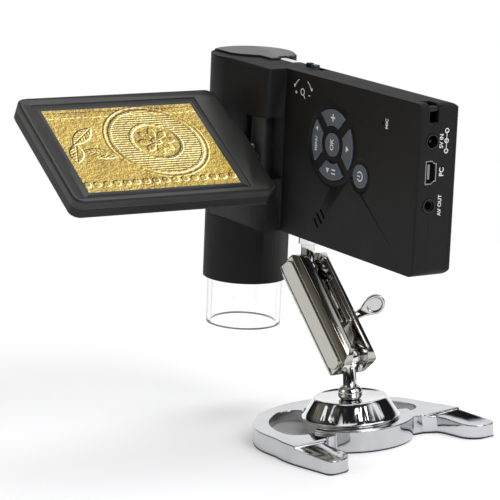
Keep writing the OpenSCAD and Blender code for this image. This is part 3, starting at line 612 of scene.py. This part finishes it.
# What each node wears: its finish here and its material slot in the record.
WEARS = {
    "base_pad": (felt, "felt"), "base_casting": (casting_chrome, "chrome"),
    "cone_boss": (cone_chrome, "chrome"), "base_screws": (screw_steel, "screw_steel"),
    "lower_ball_stud": (post_chrome, "chrome"), "stud_nut": (screw_steel, "screw_steel"),
    "lock_nut": (post_chrome, "chrome"), "arm_bar_left": (arm_chrome, "chrome"),
    "arm_bar_right": (arm_chrome, "chrome"), "clamp_washer": (screw_steel, "screw_steel"),
    "clamp_screw": (post_chrome, "chrome"), "wing_lever": (wing_chrome, "chrome"),
    "upper_ball_stud": (post_chrome, "chrome"), "jam_nut": (post_chrome, "chrome"),
    "tripod_bush": (brass, "brass"), "front_shell": (soft_black, "shell_black"),
    "rear_shell": (soft_black, "shell_black"), "barrel_cap": (cap_black, "cap_black"),
    # The top plate's pale finish is a painted highlight.
    "top_plate": (pale_plate, "pale_plate"), "battery_door": (door_black, "door_black"),
    "battery": (battery_blue, "battery_blue"), "main_board": (board_green, "board_green"),
    "board_chips": (chip_black, "chip_black"), "card_socket": (tinned, "tin"),
    "key_board": (board_green, "board_green"), "key_mat": (mat_silicone, "mat_silicone"),
    "key_ok": (key_grey, "key_grey"), "key_up": (key_grey, "key_grey"),
    "key_down": (key_grey, "key_grey"), "key_left": (key_grey, "key_grey"),
    "key_right": (key_grey, "key_grey"), "key_power": (key_grey, "key_grey"),
    "speaker": (wheel_black, "socket_black"), "microphone": (tinned, "tin"),
    "dc_socket": (socket_black, "socket_black"), "usb_socket": (tinned, "tin"),
    "av_socket": (socket_black, "socket_black"), "strap_bar": (socket_black, "socket_black"),
    "shell_screws": (screw_steel, "screw_steel"), "lamp_slider": (wheel_black, "wheel_black"),
    "slider_cap": (knob_grey, "key_grey"), "lens_chassis": (wheel_black, "wheel_black"),
    "guide_rods": (screw_steel, "screw_steel"), "lens_carriage": (wheel_black, "wheel_black"),
    "lens_glass": (lens_clear, "lens_glass"), "focus_wheel": (wheel_black, "wheel_black"),
    "sensor_board": (board_green, "board_green"), "image_sensor": (chip_black, "chip_black"),
    "lamp_board": (pale_plate, "lamp_board"), "lamps": (lamp_white, "lamp"),
    "barrel_window": (lens_clear, "lens_glass"), "tube_collar": (wheel_black, "wheel_black"),
    "clear_tube": (clear_acrylic, "clear_acrylic"), "hinge_pins": (screw_steel, "screw_steel"),
    "hinge_drum": (drum_black, "bezel_charcoal"), "lcd_axle": (screw_steel, "screw_steel"),
    "lcd_bezel": (case_charcoal, "bezel_charcoal"),
    "lcd_rear_cover": (cover_charcoal, "cover_charcoal"),
    "lcd_module": (navy_edge, "picture"), "lcd_fittings": (screw_steel, "screw_steel"),
}
for node, (made, slot_name) in WEARS.items():
    dressed(node, made)

# ---------- drawn and added pieces ----------


def new_piece(name, bm, place, body, made):
    """Puts a mesh drawn in millimetres of a frame into the scene."""
    bm.transform(place)
    bmesh.ops.recalc_face_normals(bm, faces=bm.faces)
    mesh = bpy.data.meshes.new(name)
    bm.to_mesh(mesh)
    bm.free()
    put_in_scene(name, mesh, body, made)


def thicken(bm, faces, depth):
    """Raises flat faces along z."""
    out = bmesh.ops.extrude_face_region(bm, geom=faces)
    raised_verts = [v for v in out["geom"] if isinstance(v, bmesh.types.BMVert)]
    bmesh.ops.translate(bm, vec=(0, 0, depth), verts=raised_verts)


INK = 0.05  # how far printing stands above its face, mm


def flat_shape(bm, points, depth=INK, low=0.0):
    """A closed flat outline, raised by its depth."""
    face = bm.faces.new([bm.verts.new((x, y, low)) for x, y in points])
    thicken(bm, [face], depth)


def bar_shape(bm, start, end, width, depth=INK, low=0.0):
    """A straight flat bar."""
    start, end = Vector(start), Vector(end)
    side = (end - start).normalized().orthogonal() * width / 2
    flat_shape(bm, [start + side, end + side, end - side, start - side], depth, low)


def bend_shape(bm, centre, radius, width, start, sweep, depth=INK, low=0.0):
    """A flat band along an arc, in degrees."""
    a = math.radians(start)
    inner, outer = radius - width / 2, radius + width / 2
    corners = [(inner, low), (outer, low), (outer, low + depth), (inner, low + depth)]
    verts = [bm.verts.new((centre[0] + r * math.cos(a), centre[1] + r * math.sin(a), z))
             for r, z in corners]
    face = bm.faces.new(verts)
    full = abs(sweep) >= 360
    bmesh.ops.spin(bm, geom=[face, *face.edges, *verts], cent=(*centre, 0), axis=(0, 0, 1),
                   angle=math.radians(sweep), steps=max(6, int(abs(sweep) / 6)), use_merge=full)
    if full:
        bmesh.ops.delete(bm, geom=[face], context="FACES_ONLY")


LETTER_DEPTH = 0.02


def words(text, size):
    """A line of plain letters as a mesh, centred on the origin."""
    line = bpy.data.curves.new("letters", "FONT")
    line.body, line.size = text, size
    line.align_x, line.align_y = "CENTER", "CENTER"
    line.extrude = LETTER_DEPTH
    line.offset = size * 0.022  # a little bolder than the plain letter
    holder = bpy.data.objects.new("letters", line)
    made = bpy.data.meshes.new_from_object(holder)
    bpy.data.objects.remove(holder)
    bm = bmesh.new()
    bm.from_mesh(made)
    bpy.data.meshes.remove(made)
    return bm


def label(name, text, size, place, at, turn, body, low=LETTER_DEPTH):
    """A printed word on a face, turned by so many degrees."""
    bm = words(text, size)
    spot = Matrix.Translation((at[0], at[1], low)) @ Matrix.Rotation(math.radians(turn), 4, "Z")
    bm.transform(spot)
    new_piece(name, bm, place, body, print_white)


# The picture, on its module.
PICTURE_SIZE = (72.1, 54.1)
bm = bmesh.new()
bmesh.ops.create_grid(bm, x_segments=2, y_segments=2, size=0.5)
bm.transform(Matrix.Diagonal((*PICTURE_SIZE, 1, 1)))
layer = bm.loops.layers.uv.new("picture_mm")
for face in bm.faces:
    for corner in face.loops:
        corner[layer].uv = corner.vert.co.xy
thicken(bm, list(bm.faces), 0.04)
new_piece("picture_sheet", bm, SCREEN, "display", picture)

# Marks on the keys: they ride on their keys. Their places are counted from the middle of the ring.
RING = (78.5, 74.5)
POWER_KEY = (100.1, 64.8)
KEY_TOP = 0.2  # keys stand this far above the keypad face
KEY_INK = 0.04
OVERLAP = 0.005  # keeps two crossing bars from sharing a face


def from_ring(across, up):
    return RING[0] + across, RING[1] + up


def key_mark(name, key, triangles=(), bars=()):
    """Flat triangles and bars on a key; a bar is its start, end, width and lift."""
    bm = bmesh.new()
    for corners in triangles:
        flat_shape(bm, [from_ring(*corner) for corner in corners], KEY_INK, KEY_TOP)
    for start, end, width, lift in bars:
        bar_shape(bm, from_ring(*start), from_ring(*end), width, KEY_INK, KEY_TOP + lift)
    new_piece(name, bm, KEYPAD, key, print_white)


label("mark_ok", "OK", 3.4, KEYPAD, RING, 90, "key_ok", KEY_TOP)
label("mark_menu", "MENU", 2.3, KEYPAD, from_ring(-11.8, -1.3), 90, "key_left", KEY_TOP)
key_mark("mark_left", "key_left", triangles=[[(-12.7, 5.4), (-10.9, 4.4), (-10.9, 6.4)]])
key_mark("mark_right", "key_right", triangles=[[(12.7, 0), (10.5, 1.4), (10.5, -1.4)]])
key_mark("mark_up", "key_up",
         bars=[((-1.6, 11.6), (1.6, 11.6), 0.7, 0), ((0, 10), (0, 13.2), 0.7, OVERLAP)])
key_mark("mark_down", "key_down", triangles=[[(-3.6, -10.4), (-1.2, -10.4), (-2.4, -12.6)]],
         bars=[((0.6, -10.6), (3.4, -10.6), 0.6, 0), ((0.6, -12.2), (3.4, -12.2), 0.6, 0)])

bm = bmesh.new()
bend_shape(bm, POWER_KEY, 1.9, 0.55, 215, 290, KEY_INK, KEY_TOP)
bar_shape(bm, (98.4, POWER_KEY[1]), (100.3, POWER_KEY[1]), 0.55, KEY_INK, KEY_TOP + OVERLAP)
new_piece("mark_power", bm, KEYPAD, "key_power", print_white)

# Printing on the keypad face: a magnifier between plus and minus, under an arc with two arrows.
ARC = (54.6, 92.4)
bm = bmesh.new()
bend_shape(bm, (54.3, 93.4), 1.35, 0.42, 0, 360)
bar_shape(bm, (55.1, 92.3), (56.3, 90.7), 0.45)
bar_shape(bm, (48.6, 92.6), (50.2, 92.6), 0.35)
bar_shape(bm, (49.4, 91.8), (49.4, 93.4), 0.35, INK - OVERLAP)
bar_shape(bm, (58.8, 92.5), (60.2, 92.5), 0.35)
for start in (118, 20):
    bend_shape(bm, ARC, 6.8, 0.35, start, 42)
flat_shape(bm, [(47.4, 95.9), (48.9, 96.2), (47.8, 94.7)])
flat_shape(bm, [(61.9, 95.9), (60.4, 96.1), (61.5, 94.6)])
new_piece("zoom_marks", bm, KEYPAD, "head", print_white)
label("mark_mic", "MIC", 2.5, KEYPAD, (117.4, 90), 90, "head")

# Printing beside the sockets on the end face: across is up the body, up is towards the keypad.
label("mark_power_in", "5V IN", 2.5, END, (86.2, -1.7), 0, "head")
label("mark_data", "PC", 3.1, END, (73.4, -2.5), 0, "head")
label("mark_video", "AV OUT", 2.4, END, (59.5, -2.4), 0, "head")
SIGN_UP = -4.2  # the sign for the power socket's poles: three rings on a bar
bm = bmesh.new()
bar_shape(bm, (82.4, SIGN_UP), (90, SIGN_UP), 0.3)
for across in (82, 86.2, 90.4):
    bend_shape(bm, (across, SIGN_UP), 0.85, 0.42, 0, 360)
new_piece("power_in_marks", bm, END, "head", print_white)

# The two lower rims of the clear tube are opaque rings whose blue-grey is painted reflection: inner and outer
# radius, and height.
TUBE_FOOT = -21.55
for name, inner, outer, height in (("tube_rim_outer", 16.7, 17.0, 0.5),
                                   ("tube_rim_inner", 15.15, 15.4, 0.4)):
    bm = bmesh.new()
    bend_shape(bm, (0, 0), (inner + outer) / 2, outer - inner, 0, 360, height, TUBE_FOOT)
    new_piece(name, bm, HEAD, "tube", painted_rim_reflection)

# Contacts in the data socket.
CONTACT_SIZE = (8, 0.12, 0.6)
CONTACT_PITCH = 1.15
MIDDLE_CONTACT = (134.4, -3.62, 73.4)
bm = bmesh.new()
for i in range(-2, 3):
    part = bmesh.ops.create_cube(bm, size=1)
    bmesh.ops.scale(bm, vec=CONTACT_SIZE, verts=part["verts"])
    spot = (*MIDDLE_CONTACT[:2], MIDDLE_CONTACT[2] + i * CONTACT_PITCH)
    bmesh.ops.translate(bm, vec=spot, verts=part["verts"])
bmesh.ops.bevel(bm, geom=list(bm.edges), offset=0.03, segments=1, profile=0.5, affect="EDGES",
                material=-1)
new_piece("data_contacts", bm, HEAD, "head", gold_plate)

# ---------- floor, light and camera ----------


def seen_directly(tree):
    """1 for rays from the eye, from mirrors and through glass; 0 for the soft light itself."""
    rays = new_node(tree, "LightPath")
    eye = Reading(tree, rays.outputs["Is Camera Ray"])
    mirror = Reading(tree, rays.outputs["Is Glossy Ray"])
    through = Reading(tree, rays.outputs["Is Transmission Ray"])
    return eye.sum("MAXIMUM", mirror).sum("MAXIMUM", through)


FLOOR_RADIUS = 6  # metres
FLOOR_GLOW = 0.22
SHADOW_ZONE = (0.2, 0.55)  # metres from the middle over which the shadow fades


def make_floor():
    """Pale floor that keeps the shadow near the object and is plain white further off."""
    made = bpy.data.materials.new("floor")
    made.use_nodes = True
    tree = made.node_tree
    tree.nodes.clear()
    where = new_node(tree, "TexCoord").outputs["Object"]
    tone = blend_colours(tree, noise(tree, where, 3, 2), colour("f4f4f5"), colour("f0f0f2"))
    matt = new_node(tree, "BsdfDiffuse")
    feed(tree, matt.inputs["Color"], tone)
    glow, white = new_node(tree, "Emission"), new_node(tree, "Emission")
    glow.inputs["Strength"].default_value = FLOOR_GLOW
    lit = new_node(tree, "AddShader")
    near, pick = new_node(tree, "MixShader"), new_node(tree, "MixShader")
    tree.links.new(matt.outputs[0], lit.inputs[0])
    tree.links.new(glow.outputs[0], lit.inputs[1])
    x, y, _ = split(tree, where)
    feed(tree, near.inputs[0], (x * x + y * y).sum("SQRT").band(*SHADOW_ZONE))
    tree.links.new(lit.outputs[0], near.inputs[1])
    tree.links.new(white.outputs[0], near.inputs[2])
    feed(tree, pick.inputs[0], seen_directly(tree))
    tree.links.new(matt.outputs[0], pick.inputs[1])
    tree.links.new(near.outputs[0], pick.inputs[2])
    output = tree.nodes.new("ShaderNodeOutputMaterial")
    tree.links.new(pick.outputs[0], output.inputs["Surface"])
    return made


bm = bmesh.new()
bmesh.ops.create_circle(bm, cap_ends=True, segments=96, radius=FLOOR_RADIUS)
floor_mesh = bpy.data.meshes.new("floor")
bm.to_mesh(floor_mesh)
bm.free()
floor_piece = bpy.data.objects.new("floor", floor_mesh)
bpy.context.scene.collection.objects.link(floor_piece)
floor_mesh.materials.append(make_floor())

WHITE = (1, 1, 1, 1)
DARK_ROOM = (0.012, 0.012, 0.013, 1)
OLIVE_LOW, OLIVE_HIGH = (0.3, 0.28, 0.235, 1), (0.1, 0.09, 0.07, 1)
SOFT_LIGHT = 0.5  # strength of the white surround as a light; it is seen at full strength


def make_world():
    """White surround. Mirrors see a dim studio in it: an olive wall, bright panels, a pale sweep."""
    world = bpy.data.worlds.new("studio")
    bpy.context.scene.world = world
    world.use_nodes = True
    tree = world.node_tree
    tree.nodes.clear()
    back = new_node(tree, "Background")
    x, y, z = split(tree, new_node(tree, "TexCoord").outputs["Generated"])
    bearing = y.sum("ARCTAN2", x)  # radians; z is the height, -1 to 1
    wall = bearing.band(-2.95, -2.5) * bearing.band(-0.7, -1.2) * z.band(0.9, 0.7)
    stripe = bearing.band(-1.95, -1.88) * bearing.band(-1.72, -1.8)
    stripe = stripe * z.band(0.45, 0.6) * z.band(0.9, 0.85)
    panel = bearing.band(0.5, 0.75) * bearing.band(1.3, 1.05)
    panel = panel * z.band(0.15, 0.35) * z.band(0.85, 0.7)
    sweep = (bearing - 2.57).sum("ABSOLUTE").band(0.72, 0.5) * z.band(0.56, 0.44)
    ceiling = z.band(0.93, 0.97)
    bright = stripe.sum("MAXIMUM", panel).sum("MAXIMUM", sweep).sum("MAXIMUM", ceiling)
    olive = blend_colours(tree, z.band(0.1, 0.8), OLIVE_LOW, OLIVE_HIGH)
    room = blend_colours(tree, bright, blend_colours(tree, wall, DARK_ROOM, olive), WHITE)
    mirror = Reading(tree, new_node(tree, "LightPath").outputs["Is Glossy Ray"])
    feed(tree, back.inputs["Color"], blend_colours(tree, mirror, WHITE, room))
    feed(tree, back.inputs["Strength"], seen_directly(tree).spread(SOFT_LIGHT, 1.0))
    output = tree.nodes.new("ShaderNodeOutputWorld")
    tree.links.new(back.outputs[0], output.inputs["Surface"])


make_world()


def soft_lamp(name, spot, aim, size, power):
    """A rectangular lamp: metres and watts."""
    light = bpy.data.lights.new(name, "AREA")
    light.shape = "RECTANGLE"
    light.size, light.size_y, light.energy = size[0], size[1], power
    lamp = bpy.data.objects.new(name, light)
    bpy.context.scene.collection.objects.link(lamp)
    lamp.location = spot
    lamp.rotation_euler = (Vector(aim) - Vector(spot)).to_track_quat("-Z", "Y").to_euler()


soft_lamp("key_lamp", spot=(1.15, 0.1, 1.0), aim=(0, 0, 0.08), size=(0.8, 0.8), power=9.5)
soft_lamp("fill_lamp", spot=(-0.5, -1.3, 0.9), aim=(0, 0, 0.08), size=(0.9, 0.7), power=1.9)
soft_lamp("top_lamp", spot=(-0.2, 0.5, 1.4), aim=(0, 0, 0.05), size=(1.0, 1.0), power=6.5)

EYE = (0.94828, -0.63854, 0.29681)
view = bpy.data.cameras.new("camera")
view.lens, view.sensor_width, view.sensor_fit = 194.4, 36, "HORIZONTAL"
view.clip_start, view.clip_end = 0.05, 30
camera = bpy.data.objects.new("camera", view)
bpy.context.scene.collection.objects.link(camera)
look = Vector((-0.8347, 0.5197, -0.1821)).normalized()
up = Vector((-0.1323, 0.1318, 0.9824))
right = look.cross(up).normalized()
up = right.cross(look)
turn = Matrix((right, up, -look)).transposed().to_4x4()
camera.matrix_world = Matrix.Translation(EYE) @ turn
bpy.context.scene.camera = camera
bpy.context.scene.view_settings.view_transform = "Standard"
